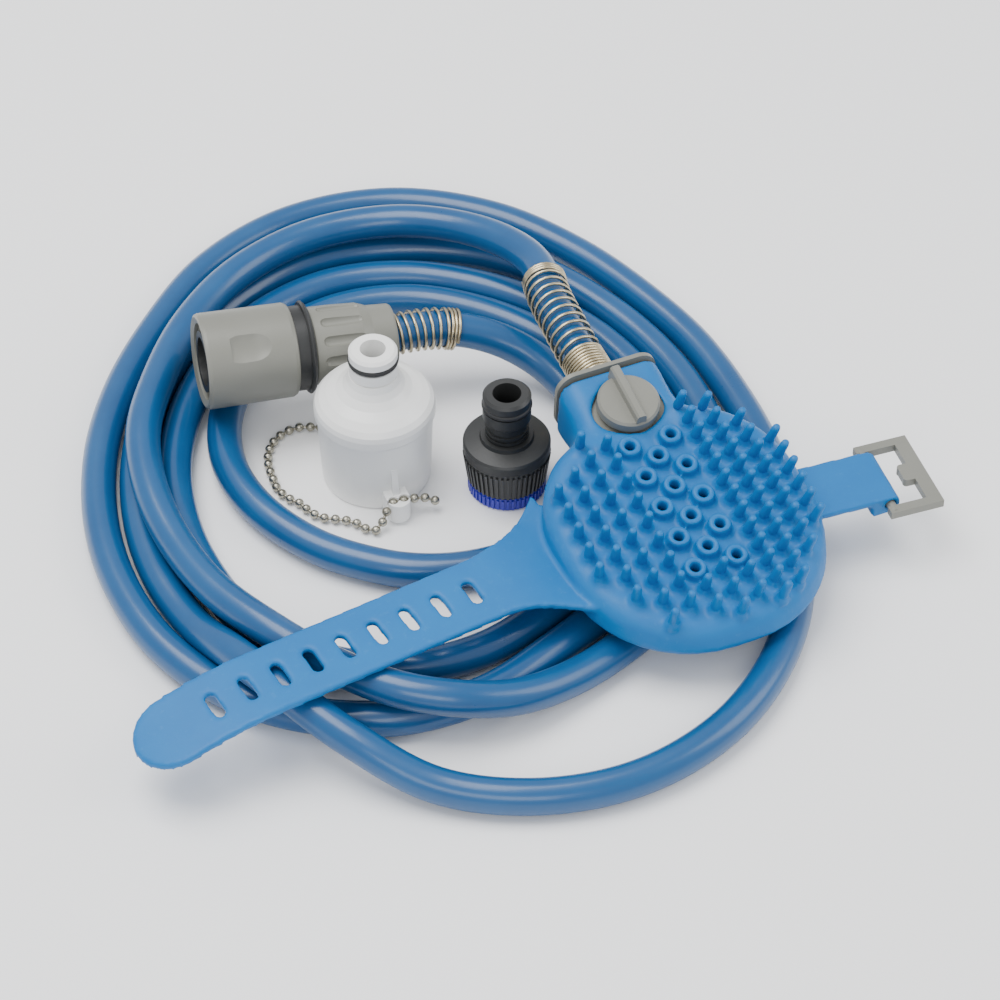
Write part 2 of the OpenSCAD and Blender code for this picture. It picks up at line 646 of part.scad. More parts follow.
module locking_sleeve() {
    r = sleeve_d / 2;
    color([0.66, 0.66, 0.64]) on_connector() difference() {
        turned([[r - 3.4, 0.8], [r - 1.2, 0], [r - 0.4, 0.4], [r, 1.4], [r - 0.3, sleeve_len - 1.6],
            [r - 0.9, sleeve_len - 0.4], [r - 1.5, sleeve_len], [15.6, sleeve_len], [15.6, shoulder],
            [14.1, shoulder],
            [14.1, rim_end], [11.6, rim_end], [11.6, 2.4], [r - 3.4, 2.4]], 72);
        for (a = [thumb_turn, thumb_turn + 180]) rotate([0, 0, a]) thumb_recess(r);
    }
}

// Flutes with round ends leave the ribs of the grip standing between them
flute_count = 12;
flute_from = nut_from + 5;
flute_to = nut_from + 17.5;
module hose_nut() {
    color([0.64, 0.64, 0.62]) on_connector() difference() {
        turned([[0, nut_from], [13.5, nut_from], [14, nut_from + 0.6], [13.9, nut_from + 8],
            [13.3, flute_to + 0.7], [12.4, flute_to + 3.2], [11.8, flute_to + 4.6], [11.4, nut_end - 0.8],
            [10.9, nut_end], [0, nut_end]], 72);
        for (i = [0:flute_count - 1]) rotate([0, 0, (i + 0.5) * 360 / flute_count]) translate([14.45, 0, 0])
            turned([[0, flute_from - 2], [1, flute_from - 1.7], [1.7, flute_from - 1], [2, flute_from],
                [2, flute_to], [1.7, flute_to + 1], [1, flute_to + 1.7], [0, flute_to + 2]], 36);
        translate([0, 0, nut_from - 1]) cylinder(d = 19.3, h = 14.4, $fn = 48);
        translate([0, 0, nut_from]) cylinder(d = hose_d + 0.7, h = 60, $fn = 48);
    }
}

// ---- spout adapter ----
spigot_top = 59;
ring_low = 6.2;
ring_high = 3.6;
module spigot(top, neck_d) {
    r = spigot_d / 2;
    g = r - 1.9;
    turned([[0, top - 24], [neck_d / 2, top - 24], [neck_d / 2, top - 12], [r, top - 10.4],
        [r, top - ring_low],
        [g, top - ring_low], [g, top - ring_high], [r, top - ring_high], [r, top - 1], [r - 1, top],
        [0, top]]);
}

module spout_adapter() {
    r = cup_d / 2;
    color([0.92, 0.92, 0.91]) translate([spout_at[0], spout_at[1], 0]) difference() {
        union() {
            turned([[0, 0], [18.3, 0], [18.9, 0.5], [19.2, 1.8], [19.8, 14], [20.4, 29.2],
                [r - 0.4, 29.8], [r, 30.6],
                [r, 33.6], [r - 0.5, 35.4], [r - 1.9, 37.2], [r - 4.6, 39.2], [r - 8, 41.2], [r - 10.4, 43.4],
                [r - 11.8, 45.6], [r - 12.6, 48], [0, 48]], 80);
            spigot(spigot_top, 13.6);
            rotate([0, 0, lug_angle]) lug();
            anchor();
        }
        translate([0, 0, -1]) cylinder(d = 35.6, h = 33, $fn = 72);
        translate([0, 0, 31]) cylinder(d1 = 30, d2 = 12, h = 8, $fn = 64);
        cylinder(d = 9, h = 80, $fn = 40);
    }
}

// Lug that holds the loose end of the chain: two beads sit in its pockets, the wire in its slot
lug_angle = -94;
lug_bead = [24.6, 7.4];
module lug() {
    difference() {
        union() {
            translate([0, 0, 1.2]) linear_extrude(height = 7.8) {
                translate([17.6, -4.1]) square([6.8, 8.2]);
                translate([24.4, 0]) circle(d = 8.2, $fn = 40);
            }
            rotate([90, 0, 0]) linear_extrude(height = 2.2, center = true)
                polygon([[18.4, 8], [22.4, 8], [21.6, 13], [20.2, 19], [18.8, 19]]);
        }
        for (y = [-1, 1]) translate([lug_bead[0], y * bead_step / 2, lug_bead[1]]) {
            sphere(d = bead_d + 0.3, $fn = 32);
            cylinder(d = bead_d + 0.3, h = 5, $fn = 32);
        }
        translate([lug_bead[0] - 0.7, -6, lug_bead[1] - 0.7]) cube([1.4, 12, 5]);
    }
}

// Boss that the chain's other end is moulded into
anchor_angle = 110;
module anchor() {
    rotate([0, 0, anchor_angle]) translate([18, 0, 4.4]) rotate([0, 90, 0])
        cylinder(d = 5, h = 3.4, $fn = 32);
}

module spigot_ring(top) {
    translate([0, 0, top - (ring_low + ring_high) / 2]) rotate_extrude($fn = 64)
        translate([spigot_d / 2 - 0.75, 0]) circle(r = 1.1, $fn = 24);
}

module spout_o_ring() { color([0.12, 0.12, 0.12]) translate([spout_at[0], spout_at[1], 0])
    spigot_ring(spigot_top); }

module spout_gasket() {
    color([0.2, 0.2, 0.2]) translate([spout_at[0], spout_at[1], 1]) difference() {
        cylinder(d = 35.4, h = 7, $fn = 64);
        translate([0, 0, -1]) cylinder(d1 = 27, d2 = 24, h = 9, $fn = 64);
    }
}

// Bead chain that tightens round the spout: from the lug, round on the surface, to the boss
bead_step = 3.9;
chain_points = [[0.26, -24.28, 7.4], [-3.64, -24, 7.4], [-7.4, -26, 5.6], [-11.5, -29, 2], [-15, -26.5, 1.7],
    [-17.5, -22, 1.7], [-21, -19, 1.7], [-26, -16, 1.7], [-29.5, -11.5, 1.7], [-31.5, -5.5, 1.7],
    [-34.5, -1, 1.7],
    [-36, 4.5, 1.7], [-35.5, 10.5, 1.7], [-34.5, 17, 1.7], [-32, 23, 1.7], [-28, 27.5, 1.7], [-23, 30, 1.7],
    [-18, 30.5, 1.7], [-13, 28.5, 1.8], [-9.5, 25, 3], [-7.5, 20.5, 4.4]];
chain_tail = [[0.26, -24.28, 7.4], [4.1, -24.6, 7.2], [7.9, -25.2, 6.5], [11.2, -26.4, 4.9]];
function chain_at(u) = curve_at(chain_points, u);
function chain_walk(u, left) = left <= 0 || u > len(chain_points) - 1 ? u
    : let (d = norm(chain_at(u + 0.02) - chain_at(u))) chain_walk(u + 0.02, left - d);
function beads(u) = u > len(chain_points) - 1.45 ? []
    : concat([chain_at(u)], beads(chain_walk(u, bead_step)));
bead_places = beads(0);

module rod(a, b, d) {
    v = b - a;
    translate(a + unit(v)) rotate([0, acos(v[2] / norm(v)), atan2(v[1], v[0])])
        cylinder(d = d, h = norm(v) - 2, $fn = 16);
}

module bead_chain() {
    color([0.66, 0.65, 0.6]) translate([spout_at[0], spout_at[1], 0]) {
        last = len(bead_places) - 1;
        for (p = concat(bead_places, [for (i = [1:3]) chain_tail[i]])) translate(p)
            sphere(d = bead_d, $fn = 20);
        for (i = [0:last - 1]) rod(bead_places[i], bead_places[i + 1], 1);
        for (i = [0:2]) rod(chain_tail[i], chain_tail[i + 1], 1);
        rod(bead_places[last], [19 * cos(anchor_angle), 19 * sin(anchor_angle), 4.4], 1);
    }
}

// ---- tap adapter ----
tap_top = 44;
module tap_adapter() {
    color([0.24, 0.24, 0.24]) translate([tap_at[0], tap_at[1], 0]) difference() {
        union() {
            turned([[0, 5.2], [13.1, 5.2], [13.5, 5.8], [15, 17.6], [15.4, 18.4], [15.4, 21.6],
                [14.8, 22.4], [9.6, 23.6],
                [9.2, 25], [0, 25]], 72);
            spigot(tap_top, 14.2);
            for (z = [23.5:2.2:30]) translate([0, 0, z]) cylinder(d = 15.4, h = 1.1, $fn = 48);
            for (i = [0:47]) rotate([0, 0, i * 7.5]) translate([12.8, -0.45, 6])
                rotate([0, 7.4, 0]) cube([1.3, 0.9, 11]);
        }
        translate([0, 0, 2]) cylinder(d = 21, h = 15, $fn = 64);
        cylinder(d = 10, h = 60, $fn = 40);
    }
}

module tap_o_ring() { color([0.12, 0.12, 0.12]) translate([tap_at[0], tap_at[1], 0]) spigot_ring(tap_top); }

module tap_washer() {
    color([0.1, 0.1, 0.1]) translate([tap_at[0], tap_at[1], 14.9]) difference() {
        cylinder(d = 20.6, h = 2, $fn = 48);
        translate([0, 0, -1]) cylinder(d = 11, h = 4, $fn = 40);
    }
}

thread_len = 9;
module tap_reducer() {
    color([0.14, 0.12, 0.58]) translate([tap_at[0], tap_at[1], 0]) difference() {
        union() {
            cylinder(d = 26.4, h = 5, $fn = 72);
            translate([0, 0, 3]) cylinder(d = 20.9, h = 11.8, $fn = 64);
            for (i = [0:47]) rotate([0, 0, i * 7.5]) translate([12.8, -0.45, 0.5]) cube([1, 0.9, 4]);
        }
        translate([0, 0, -1]) cylinder(d = 15.8, h = thread_len + 1, $fn = 64);
        translate([0, 0, thread_len]) cylinder(d = 16.6, h = 2.3, $fn = 64);
        cylinder(d = 11, h = 30, $fn = 40);
    }
}

module reducer_washer() {
    color([0.1, 0.1, 0.1]) translate([tap_at[0], tap_at[1], thread_len + 0.15]) difference() {
        cylinder(d = 16.4, h = 2, $fn = 48);
        translate([0, 0, -1]) cylinder(d = 10, h = 4, $fn = 40);
    }
}

silicone_cover();
front_housing();
rear_housing();
housing_seal();
housing_screws();
neck_collar();
inlet_barb();
valve_spindle();
valve_o_rings();
valve_knob();
knob_screw();
buckle();
hose();
sprayer_spring();
connector_spring();
hose_nut();
connector_body();
connector_seal();
locking_claws();
sleeve_spring();
locking_sleeve();
spout_adapter();
spout_o_ring();
spout_gasket();
bead_chain();
tap_adapter();
tap_o_ring();
tap_washer();
tap_reducer();
reducer_washer();
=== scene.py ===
import json
import math
import bpy
from mathutils import Vector, Matrix


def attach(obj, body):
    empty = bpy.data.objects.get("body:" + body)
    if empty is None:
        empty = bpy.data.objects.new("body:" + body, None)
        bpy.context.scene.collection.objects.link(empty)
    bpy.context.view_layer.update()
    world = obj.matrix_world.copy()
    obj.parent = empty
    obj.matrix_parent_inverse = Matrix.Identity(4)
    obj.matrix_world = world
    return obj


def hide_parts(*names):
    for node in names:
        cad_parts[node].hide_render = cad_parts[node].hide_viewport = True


# handheld bath sprayer on its coiled hose, with two tap adapters; metres, +Z up
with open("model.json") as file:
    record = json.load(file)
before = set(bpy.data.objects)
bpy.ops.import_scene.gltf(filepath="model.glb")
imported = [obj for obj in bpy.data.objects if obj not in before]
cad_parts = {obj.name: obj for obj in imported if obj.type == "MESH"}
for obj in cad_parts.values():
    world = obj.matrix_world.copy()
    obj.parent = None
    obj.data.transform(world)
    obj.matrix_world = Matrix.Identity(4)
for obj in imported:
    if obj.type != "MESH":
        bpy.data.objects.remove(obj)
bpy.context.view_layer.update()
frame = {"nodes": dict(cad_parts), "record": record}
print("frame loaded")

camera = {"target": (0.0146, 0.0235, 0.0), "azimuth": -24, "elevation": 45, "distance": 1.27, "lens": 130,
          "sensor": 36, "clipEnd": 10}


def placeCamera():
    turn, lift = math.radians(camera["azimuth"]), math.radians(camera["elevation"])
    target = Vector(camera["target"])
    away = Vector((math.sin(turn) * math.cos(lift), -math.cos(turn) * math.cos(lift), math.sin(lift)))
    bpy.ops.object.camera_add(location=target + camera["distance"] * away)
    eye = bpy.context.object
    eye.rotation_euler = (-away).to_track_quat("-Z", "Y").to_euler()
    eye.data.lens = camera["lens"]
    eye.data.sensor_width = camera["sensor"]
    eye.data.clip_end = camera["clipEnd"]
    bpy.context.scene.camera = eye


placeCamera()
print("camera placed")


class Wire:
    # a node's output that can be added and multiplied in plain expressions
    def __init__(self, finish, socket):
        self.finish, self.socket = finish, socket

    def work(self, operation, other):
        return self.finish.node("ShaderNodeMath", {"operation": operation}, {0: self, 1: other})

    def __add__(self, other):
        return self.work("ADD", other)

    def __mul__(self, other):
        return self.work("MULTIPLY", other)

    __radd__ = __add__
    __rmul__ = __mul__


class Finish:
    # a material being built, on a piece's own object coordinates
    def __init__(self, name):
        self.material = bpy.data.materials.new(name)
        self.material.use_nodes = True
        self.tree = self.material.node_tree
        self.shader = self.tree.nodes["Principled BSDF"]
        self.place = self.node("ShaderNodeTexCoord", {}, {}, "Object")

    def node(self, kind, settings, values, output=0):
        made = self.tree.nodes.new(kind)
        for name, value in settings.items():
            setattr(made, name, value)
        for name, value in values.items():
            self.join(made.inputs[name], value)
        return Wire(self, made.outputs[output])

    def join(self, socket, value):
        if isinstance(value, Wire):
            self.tree.links.new(value.socket, socket)
        else:
            socket.default_value = value

    def noise(self, scale, detail, roughness=0.5, stretch=None):
        where = self.place
        if stretch:
            where = self.node("ShaderNodeMapping", {}, {"Vector": self.place, "Scale": stretch})
        return self.node("ShaderNodeTexNoise", {}, {"Vector": where, "Scale": scale, "Detail": detail,
                                                    "Roughness": roughness})

    def blendColours(self, mask, low, high):
        # sockets 0, 6, 7 and 2 are the Mix node's factor, two colours and mixed colour
        return self.node("ShaderNodeMix", {"data_type": "RGBA"}, {0: mask, 6: low, 7: high}, 2)

    def above(self, height, start, full, most=1.0):
        # 0 below start, rising to most where height reaches full
        return self.node("ShaderNodeMapRange", {}, {"Value": height, "From Min": start, "From Max": full,
                                                    "To Max": most})

    def bump(self, height, strength, distance, over=None):
        values = {"Height": height, "Strength": strength, "Distance": distance}
        if over:
            values["Normal"] = over
        return self.node("ShaderNodeBump", {}, values)

    def set(self, **values):
        for name, value in values.items():
            self.join(self.shader.inputs[name.replace("_", " ")], value)
        return self.material


def colour(red, green, blue):
    # sRGB 0 to 255 to the shader's linear values
    def straight(c):
        c /= 255
        return c / 12.92 if c <= 0.04045 else ((c + 0.055) / 1.055) ** 2.4
    return (straight(red), straight(green), straight(blue), 1)


def siliconeSkin():
    # soft satin rubber, a little cloudy, with a fine moulded grain
    f = Finish("siliconeSkin")
    cloud = f.noise(45, 4)
    grain = f.noise(1600, 2)
    dust = f.noise(320, 5, 0.7)
    tone = f.blendColours(cloud, colour(2, 96, 160), colour(8, 110, 174))
    tone = f.blendColours(f.above(dust, 0.58, 0.8, 0.1), tone, colour(120, 180, 214))
    normal = f.bump(grain, 0.12, 0.0002, f.bump(cloud, 0.08, 0.0008))
    return f.set(Base_Color=tone, Roughness=0.4 + 0.16 * dust, Normal=normal, Specular_IOR_Level=0.32,
                 Subsurface_Weight=0.12, Subsurface_Radius=(0.0012, 0.002, 0.003))


def hoseVinyl():
    # glossy clear-skinned vinyl with faint drawing lines and dull patches
    f = Finish("hoseVinyl")
    patch = f.noise(38, 4)
    mottle = f.noise(420, 3)
    tone = f.blendColours(patch, colour(2, 68, 118), colour(8, 86, 138))
    tone = f.blendColours(mottle * 0.22, tone, colour(2, 50, 98))
    normal = f.bump(patch, 0.16, 0.0012, f.bump(mottle, 0.05, 0.0003))
    return f.set(Base_Color=tone, Roughness=0.2 + 0.18 * patch + 0.05 * mottle, Normal=normal,
                 Coat_Weight=0.22, Coat_Roughness=0.14, Specular_IOR_Level=0.5)


def moulded(name, base, mark, settings):
    # hard plastic: mould grain, slight cloud, scuffs that lighten and dull it
    f = Finish(name)
    cloud = f.noise(30, 3)
    grain = f.noise(settings["grain"], 2)
    scuff = f.above(f.noise(210, 6, 0.75, (1, 1, 0.25)), 0.6, 0.78, settings["scuffs"])
    tone = f.blendColours(cloud * 0.5, base, mark)
    tone = f.blendColours(scuff, tone, mark)
    normal = f.bump(grain, settings["bump"], 0.00015)
    return f.set(Base_Color=tone, Roughness=settings["roughness"] + 0.08 * cloud + 0.3 * scuff, Normal=normal,
                 Specular_IOR_Level=0.5)


def metal(name, base, tarnish, roughness):
    # drawn or turned metal with fine lines and darker spots
    f = Finish(name)
    lines = f.noise(700, 3, 0.6, (1, 1, 0.2))
    spots = f.above(f.noise(260, 4, 0.6), 0.52, 0.75)
    tone = f.blendColours(spots * 0.6, base, tarnish)
    normal = f.bump(lines, 0.12, 0.0001)
    return f.set(Base_Color=tone, Metallic=1.0, Roughness=roughness + 0.14 * lines + 0.1 * spots, Normal=normal)


def sealRubber():
    # matt black rubber with a grey bloom
    f = Finish("sealRubber")
    bloom = f.noise(300, 4)
    tone = f.blendColours(bloom, colour(22, 22, 23), colour(46, 46, 47))
    return f.set(Base_Color=tone, Roughness=0.5 + 0.2 * bloom, Normal=f.bump(bloom, 0.08, 0.0002))


# one finish for each material slot of the model
finishes = {
    "silicone": siliconeSkin(),
    "hose": hoseVinyl(),
    "grey_plastic": moulded("greyPlastic", colour(114, 114, 106), colour(138, 138, 130),
                            {"grain": 1500, "bump": 0.14, "roughness": 0.36, "scuffs": 0.25}),
    "black_plastic": moulded("blackPlastic", colour(26, 27, 27), colour(58, 59, 59),
                             {"grain": 1300, "bump": 0.2, "roughness": 0.4, "scuffs": 0.4}),
    "white_plastic": moulded("whitePlastic", colour(238, 238, 236), colour(224, 224, 220),
                             {"grain": 1100, "bump": 0.08, "roughness": 0.26, "scuffs": 0.3}),
    "blue_plastic": moulded("bluePlastic", colour(36, 34, 158), colour(66, 64, 190),
                            {"grain": 1300, "bump": 0.14, "roughness": 0.34, "scuffs": 0.3}),
    "black_rubber": sealRubber(),
    "steel": metal("screwSteel", colour(196, 196, 192), colour(140, 138, 132), 0.24),
    "spring_wire": metal("springWire", colour(196, 184, 156), colour(140, 116, 78), 0.22),
    "brass": metal("turnedBrass", colour(214, 184, 120), colour(160, 128, 74), 0.26),
    "chain_steel": metal("chainSteel", colour(170, 166, 152), colour(92, 86, 72), 0.26),
}
slotOf = {part["node"]: part["material_slot"] for part in frame["record"]["subparts"]}
for name, node in frame["nodes"].items():
    if not node.material_slots:
        node.data.materials.append(finishes[slotOf[name]])
    for slot in node.material_slots:
        slot.material = finishes[slotOf[name]]
print("finishes made")


hose = {
    "sprayerAt": (0.0556, -0.0365, 0.0175), "sprayerPitch": 4, "exit": (0.0696, 0.0115),
    "coilAt": (-0.0004, 0.0335), "connectorAt": (-0.0668, 0.1012, 0.031), "connectorYaw": -8.5,
    "connectorDip": 3.2, "socket": 0.05, "diameter": 0.0125, "body": "sprayer_and_hose",
    # forward along the neck, sideways and down, just past the exit
    "leaving": [(0.014, 0, 0), (0.028, 0.0009, 0.0005), (0.044, 0.0026, 0.0025)],
    "arriving": (0.036, 0.018, 0), "stepsPerSpan": 10, "bevelSteps": 6,
    # laps round the coil's middle: clock angle, radius, height
    "laps": [
        (48, 0.0955, 0.03), (60, 0.112, 0.025), (75, 0.125, 0.0205), (90, 0.128, 0.0192),
        (105, 0.124, 0.0192), (120, 0.117, 0.0192), (135, 0.111, 0.0192), (150, 0.108, 0.0192),
        (165, 0.104, 0.018), (180, 0.101, 0.0166), (195, 0.1005, 0.0175), (210, 0.1015, 0.0192),
        (225, 0.1055, 0.0192), (240, 0.1115, 0.0192), (248, 0.1123, 0.0175), (257, 0.11, 0.013),
        (270, 0.103, 0.0075), (285, 0.098, 0.0063), (300, 0.0965, 0.0063), (330, 0.0955, 0.0063),
        (0, 0.097, 0.0063), (30, 0.105, 0.0063), (60, 0.121, 0.0063), (90, 0.128, 0.0063),
        (120, 0.1195, 0.0063), (150, 0.1105, 0.0063), (180, 0.109, 0.0063), (195, 0.1105, 0.0075),
        (209, 0.115, 0.0158), (220, 0.122, 0.0194), (232, 0.131, 0.0155), (245, 0.141, 0.0075),
        (257, 0.1475, 0.0063), (270, 0.1505, 0.0063), (285, 0.147, 0.0063), (300, 0.1385, 0.0063),
        (315, 0.128, 0.0063), (330, 0.118, 0.0063),
        (0, 0.111, 0.0063), (15, 0.114, 0.0063), (30, 0.1195, 0.0063), (45, 0.13, 0.0063),
        (60, 0.143, 0.0063), (75, 0.152, 0.0063), (90, 0.1525, 0.0063), (105, 0.145, 0.0063),
        (120, 0.134, 0.0063), (135, 0.1275, 0.0063), (150, 0.124, 0.0063), (180, 0.1225, 0.0063),
        (195, 0.1235, 0.0063), (210, 0.1225, 0.0063), (225, 0.118, 0.0063), (240, 0.1105, 0.0063),
        (255, 0.0995, 0.0063), (270, 0.088, 0.0063), (285, 0.0825, 0.0063), (300, 0.0815, 0.0063),
        (330, 0.081, 0.0063),
        (0, 0.084, 0.0063), (30, 0.0915, 0.0063), (60, 0.103, 0.0063), (75, 0.1095, 0.0063),
        (90, 0.113, 0.0063), (105, 0.111, 0.0063), (120, 0.106, 0.0063), (150, 0.0975, 0.0063),
        (180, 0.094, 0.0063), (210, 0.096, 0.0063), (225, 0.094, 0.0063), (240, 0.0885, 0.0063),
        (255, 0.081, 0.0063), (270, 0.073, 0.0063), (285, 0.068, 0.0063), (300, 0.067, 0.0063),
        (330, 0.067, 0.0063),
        (0, 0.0705, 0.0063), (30, 0.078, 0.0063), (60, 0.0895, 0.0063), (75, 0.096, 0.0063),
        (90, 0.099, 0.0063), (105, 0.0975, 0.0063), (120, 0.0925, 0.0063), (135, 0.086, 0.0063),
        (150, 0.078, 0.0063), (165, 0.069, 0.0063), (180, 0.0605, 0.0063), (195, 0.054, 0.0063),
        (210, 0.049, 0.0063), (225, 0.046, 0.0063), (240, 0.044, 0.0063), (255, 0.043, 0.0063),
        (270, 0.043, 0.0063), (285, 0.044, 0.0063), (300, 0.046, 0.0063), (330, 0.0505, 0.0063),
        (0, 0.056, 0.0063), (20, 0.0613, 0.0085), (36, 0.0628, 0.014), (50, 0.0614, 0.02)],
}


def sprayerFrame():
    # where the sprayer rests on the coil
    return Matrix.Translation(hose["sprayerAt"]) @ Matrix.Rotation(math.radians(hose["sprayerPitch"]), 4, "X")


def hoseRoute():
    start = sprayerFrame() @ Vector((0, hose["exit"][0], hose["exit"][1]))
    ahead = sprayerFrame().to_3x3() @ Vector((0, 1, 0))
    yaw, dip = math.radians(hose["connectorYaw"]), math.radians(hose["connectorDip"])
    along = Vector((math.cos(yaw) * math.cos(dip), math.sin(yaw) * math.cos(dip), -math.sin(dip)))
    end = Vector(hose["connectorAt"]) + hose["socket"] * along
    route = [start] + [start + far * ahead + Vector((side, 0, -down)) for far, side, down in hose["leaving"]]
    for clock, radius, height in hose["laps"]:
        turn = math.radians(clock)
        route.append(Vector((hose["coilAt"][0] + radius * math.cos(turn),
                             hose["coilAt"][1] + radius * math.sin(turn), height)))
    return route + [end + far * along for far in hose["arriving"]]


def heading(a, b, c):
    # direction of travel at b, weighted by the distances to its neighbours
    before, after = (b - a).length, (c - b).length
    return ((b - a) / before * after + (c - b) / after * before) / (before + after)


def smoothLine(route, steps):
    # the same curve through the route's points as the CAD hose
    line = []
    padded = [2 * route[0] - route[1]] + route + [2 * route[-1] - route[-2]]
    for i in range(len(route) - 1):
        a, b, c, d = padded[i:i + 4]
        span, leave, arrive = (c - b).length, heading(a, b, c), heading(b, c, d)
        for k in range(steps):
            t = k / steps
            line.append((2 * t ** 3 - 3 * t ** 2 + 1) * b + (t ** 3 - 2 * t ** 2 + t) * span * leave
                        + (3 * t ** 2 - 2 * t ** 3) * c + (t ** 3 - t ** 2) * span * arrive)
    return line + [route[-1]]


def drawTube(name, line, radius, bevelSteps):
    path = bpy.data.curves.new(name, "CURVE")
    path.dimensions = "3D"
    path.bevel_depth = radius
    path.bevel_resolution = bevelSteps
    path.use_fill_caps = True
    spline = path.splines.new("POLY")
    spline.points.add(len(line) - 1)
    for point, place in zip(spline.points, line):
        point.co = (*place, 1)
    spline.use_smooth = True
    tube = bpy.data.objects.new(name, path)
    bpy.context.collection.objects.link(tube)
    return tube


route = hoseRoute()
hoseLine = smoothLine(route, hose["stepsPerSpan"])
hoseLength = sum((b - a).length for a, b in zip(hoseLine, hoseLine[1:]))
hoseTube = drawTube("waterHose", hoseLine, hose["diameter"] / 2, hose["bevelSteps"])
hoseTube.data.materials.append(finishes["hose"])
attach(hoseTube, hose["body"])
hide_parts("hose")
print("hose laid, length", round(hoseLength, 3))

springs = {
    "wire": 0.0006, "bevelSteps": 2, "stepsPerTurn": 22, "radius": {"sprayer": 0.0076, "connector": 0.0072},
    # distance from that end of the hose, turns so far
    "sprayer": [(0.0007, 0), (0.012, 8.5), (0.054, 18.5), (0.0585, 22)],
    "connector": [(0.0208, 0), (0.0398, 6.5), (0.0436, 9.5)],
}


def alongLine(line, distance):
    # the place and the direction a distance along a line
    for a, b in zip(line, line[1:]):
        step = (b - a).length
        if distance <= step:
            return a.lerp(b, distance / step), (b - a).normalized()
        distance -= step
    return line[-1], (line[-1] - line[-2]).normalized()


def windSpring(line, marks, radius):
    # a helix round a line, its pitch set by the marks
    wire = []
    for (x0, w0), (x1, w1) in zip(marks, marks[1:]):
        count = round((w1 - w0) * springs["stepsPerTurn"])
        for k in range(count + (marks[-1] == (x1, w1))):
            part = k / count
            centre, ahead = alongLine(line, x0 + (x1 - x0) * part)
            side = Vector((0, 0, 1)).cross(ahead).normalized()
            turn = 2 * math.pi * (w0 + (w1 - w0) * part)
            wire.append(centre + radius * (math.cos(turn) * side + math.sin(turn) * ahead.cross(side)))
    return wire


for name, line in (("sprayer", hoseLine), ("connector", hoseLine[::-1])):
    helix = windSpring(line, springs[name], springs["radius"][name])
    wire = drawTube(name + "SpringWire", helix, springs["wire"], springs["bevelSteps"])
    wire.data.materials.append(finishes["spring_wire"])
    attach(wire, hose["body"])
    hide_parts(name + "_spring")
print("springs wound")

cover = {
    "faceHeight": 0.01 + 0.05 * math.tan(math.radians(7.8)), "faceSlope": 7.8, "halfWidth": 0.046,
    "farCorner": (0.004, -0.008, 0.042), "nearCorner": (0.005, 0.005, 0.041), "farEnd": -0.05, "nearEnd": 0.046,
    "columns": 6, "columnPitch": 0.0077, "bristlePitch": 0.0084, "densePitch": 0.0069, "bristleStart": -0.002,
    "rows": 8, "margin": 0.0045,
    "ringStart": 0.0286, "ringPitch": 0.0131, "ringClear": 0.007, "knobAt": 0.0463, "knobClear": 0.0165,
    # radius and height from the bottom up, of a bristle's moulded-on foot and of its finger
    "foot": [(0.0028, -0.0008), (0.0027, 0.0003), (0.0023, 0.0011), (0.0019, 0.0021), (0.0015, 0.0031)],
    "finger": [(0.0012, 0), (0.0018, 0.0022), (0.00164, 0.0042), (0.00152, 0.0076), (0.00126, 0.0087),
               (0.0008, 0.0092)],
    "bristleSides": 14, "lean": (0.09, 4.6), "voxel": 0.00084, "softening": 2,
    # fillet between neck and pad: across, along, reach and rounds of smoothing
    "shoulder": (0.0195, 0.0435, 0.015, 260),
    # what is levelled before the new bristles grow: all above this height and off the rings
    "levelAbove": 0.0004, "levelTo": 0.0001, "ringRadius": 0.0047, "weld": 0.00001,
    "body": "sprayer_and_hose",
}


def faceFrame():
    # the sloping brush face, its middle at the pad's middle
    lift = Matrix.Translation((0, 0, cover["faceHeight"]))
    return sprayerFrame() @ lift @ Matrix.Rotation(math.radians(cover["faceSlope"]), 4, "X")


def onPad(x, y, margin):
    # inside the outline of the pad's face, a margin from its edge
    x, (farX, farY, farR), (nearX, nearY, nearR) = abs(x), cover["farCorner"], cover["nearCorner"]
    return (x < cover["halfWidth"] - margin and farY < y < nearY
            or x < farX and cover["farEnd"] + margin < y < nearY
            or x < nearX and farY < y < cover["nearEnd"] - margin
            or math.hypot(x - farX, y - farY) < farR - margin
            or math.hypot(x - nearX, y - nearY) < nearR - margin)


def ringPlaces():
    # three staggered columns of nozzle rings, 5, 4 and 5 long
    return [(c * cover["columnPitch"], cover["ringStart"] - (i + (0.5 if c == 0 else 0)) * cover["ringPitch"])
            for c in (-1, 0, 1) for i in range(4 if c == 0 else 5)]


def bristlePlaces():
    # staggered columns, closer on the right, clear of the rings and the knob
    places = []
    for c in range(-cover["columns"], cover["columns"] + 1):
        pitch = cover["densePitch"] if c > 1 else cover["bristlePitch"]
        for i in range(-cover["rows"], cover["rows"] + 1):
            x, y = c * cover["columnPitch"], cover["bristleStart"] + (i + (0 if c % 2 == 0 else 0.5)) * pitch
            clear = min(math.hypot(x - a, y - b) for a, b in ringPlaces()) > cover["ringClear"]
            if onPad(x, y, cover["margin"]) and clear and math.hypot(x, y - cover["knobAt"]) > cover["knobClear"]:
                places.append((x, y))
    return places


def leanAt(x):
    # how far a bristle leans sideways for each metre of its height
    return cover["lean"][0] + cover["lean"][1] * x


def startAlone(obj):
    bpy.ops.object.select_all(action="DESELECT")
    obj.select_set(True)
    bpy.context.view_layer.objects.active = obj


